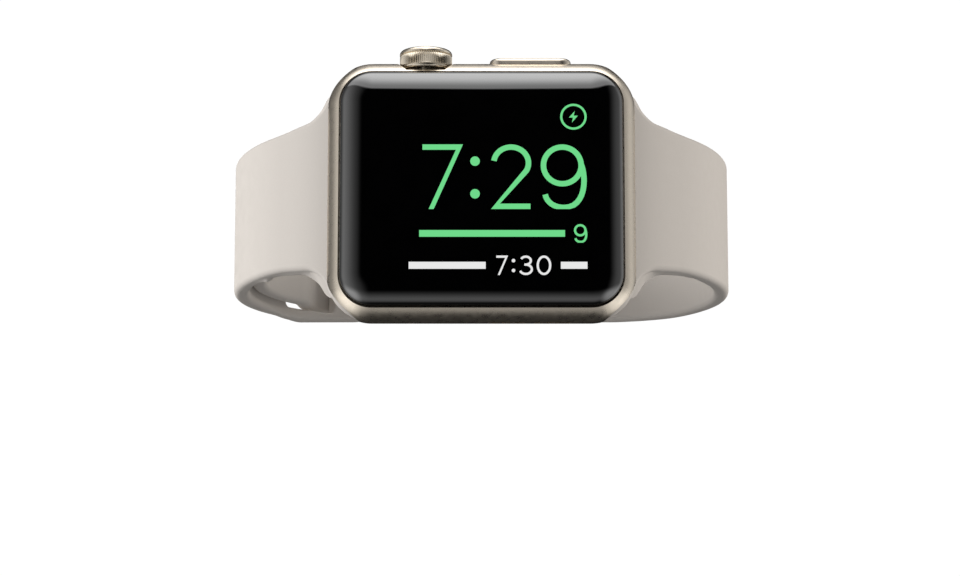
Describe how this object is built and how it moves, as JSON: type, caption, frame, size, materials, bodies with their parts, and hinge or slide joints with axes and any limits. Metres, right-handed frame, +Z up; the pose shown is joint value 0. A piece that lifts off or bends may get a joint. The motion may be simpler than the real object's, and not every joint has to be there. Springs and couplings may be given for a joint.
{
  "type": "smartwatch",
  "caption": "Rounded-rectangle smartwatch lying on its side: aluminium case, domed glass, turning crown, side button and a rubber strap closed in a loop by a pin and tuck.",
  "frame": {"origin": "on the table under the middle of the watch's box", "axes": "+X along the case's long side, from the strap that carries the closure pin to the other; +Y away from the screen, to the rear of the strap; +Z up, to the crown side"},
  "size_m": [0.072, 0.07, 0.0378],
  "materials": {
    "satin_gold_aluminium": "satin anodised",
    "cover_glass": "polished, black from behind",
    "display": "glossy, lit",
    "black_gasket": "matte",
    "flex_ribbon": "satin",
    "sensor_black": "glossy",
    "bright_steel": "brushed",
    "screw_steel": "machined",
    "battery_wrap": "matte film",
    "adhesive": "matte",
    "circuit_board": "solder mask and shields",
    "motor_steel": "brushed",
    "heavy_alloy": "machined",
    "spring_steel": "bright",
    "mesh": "woven",
    "back_composite": "glossy",
    "window_glass": "polished",
    "sensor_chip": "glossy",
    "magnet_plate": "plated",
    "ferrite": "matte",
    "copper": "enamelled wire",
    "crown_aluminium": "knurled, polished rim",
    "crown_disc": "polished",
    "switch_body": "matte",
    "stone_rubber": "smooth matte elastomer",
    "closure_metal": "polished"
  },
  "bodies": {
    "case": {"alignment_magnet": "magnet_plate", "back_cover": "back_composite", "back_gasket": "black_gasket", "battery": "battery_wrap", "battery_pad": "adhesive", "case_shell": "satin_gold_aluminium", "charging_coil": "copper", "coil_ferrite": "ferrite", "cover_glass": "cover_glass", "crown_bracket": "bright_steel", "crown_seals": "black_gasket", "crown_sensor": "sensor_black", "crown_sleeve": "bright_steel", "crown_switch": "switch_body", "display_flex": "flex_ribbon", "display_gasket": "black_gasket", "display_panel": "display", "frame_screws": "screw_steel", "haptic_housing": "motor_steel", "haptic_springs": "spring_steel", "inner_frame": "bright_steel", "light_sensor": "sensor_black", "logic_module": "circuit_board", "microphone": "motor_steel", "microphone_mesh": "mesh", "radio_module": "circuit_board", "sensor_board": "circuit_board", "sensor_chips": "sensor_chip", "sensor_windows": "window_glass", "service_port_cover": "satin_gold_aluminium", "side_button_bracket": "bright_steel", "side_button_seal": "black_gasket", "side_button_switch": "switch_body", "speaker_mesh": "mesh", "speaker_module": "sensor_black"},
    "left_strap": {"pin_strap": "stone_rubber", "strap_stud": "closure_metal", "stud_backing": "closure_metal", "left_lug_insert": "bright_steel"},
    "right_strap": {"long_strap": "stone_rubber", "right_lug_insert": "bright_steel"},
    "left_catch": {"left_latch_catch": "bright_steel", "left_catch_spring": "spring_steel"},
    "right_catch": {"right_latch_catch": "bright_steel", "right_catch_spring": "spring_steel"},
    "left_latch": {"left_latch_button": "satin_gold_aluminium"},
    "right_latch": {"right_latch_button": "satin_gold_aluminium"},
    "crown_plunger": {"crown_thrust_plate": "bright_steel"},
    "crown": {"crown_knob": "crown_aluminium", "crown_cap": "crown_disc", "crown_shaft": "bright_steel", "crown_encoder_ring": "mesh"},
    "side_button": {"side_button": "satin_gold_aluminium"},
    "haptic": {"haptic_mass": "heavy_alloy"}
  },
  "joints": [
    {"name": "crown_press", "type": "slide", "parent": "case", "child": "crown_plunger", "axis": [0, -0.158, -0.9874], "range_m": [0, 0.0004], "stiffness_N_per_m": 3000, "springref_m": -0.0001},
    {"name": "crown_spin", "type": "hinge", "parent": "crown_plunger", "child": "crown", "pos_m": [-0.0076, -0.02468, 0.03555], "axis": [0, 0.158, 0.9874], "continuous": true},
    {"name": "side_button_press", "type": "slide", "parent": "case", "child": "side_button", "axis": [0, -0.158, -0.9874], "range_m": [0, 0.00035], "stiffness_N_per_m": 3000, "springref_m": -0.0001},
    {"name": "left_latch_press", "type": "slide", "parent": "case", "child": "left_latch", "axis": [0, -0.9874, 0.158], "range_m": [0, 0.0005], "stiffness_N_per_m": 2000, "springref_m": -0.0001},
    {"name": "right_latch_press", "type": "slide", "parent": "case", "child": "right_latch", "axis": [0, -0.9874, 0.158], "range_m": [0, 0.0005], "stiffness_N_per_m": 2000, "springref_m": -0.0001},
    {"name": "strap_slide", "type": "slide", "parent": "case", "child": "right_strap", "axis": [0, 0.158, 0.9874], "range_m": [0, 0.036]},
    {"name": "left_strap_slide", "type": "slide", "parent": "case", "child": "left_strap", "axis": [0, 0.158, 0.9874], "range_m": [0, 0.036]},
    {"name": "left_catch_press", "type": "slide", "parent": "left_strap", "child": "left_catch", "axis": [0, -0.9874, 0.158], "range_m": [0, 0.0005], "stiffness_N_per_m": 500},
    {"name": "right_catch_press", "type": "slide", "parent": "right_strap", "child": "right_catch", "axis": [0, -0.9874, 0.158], "range_m": [0, 0.0005], "stiffness_N_per_m": 500},
    {"name": "haptic_shake", "type": "slide", "parent": "case", "child": "haptic", "axis": [1, 0, 0], "range_m": [-0.00015, 0.00015], "stiffness_N_per_m": 2500}
  ],
  "couplings": [
    {"joint": "left_strap_slide", "follows": "strap_slide", "ratio": 1},
    {"joint": "left_catch_press", "follows": "left_latch_press", "ratio": 1},
    {"joint": "right_catch_press", "follows": "right_latch_press", "ratio": 1}
  ]
}
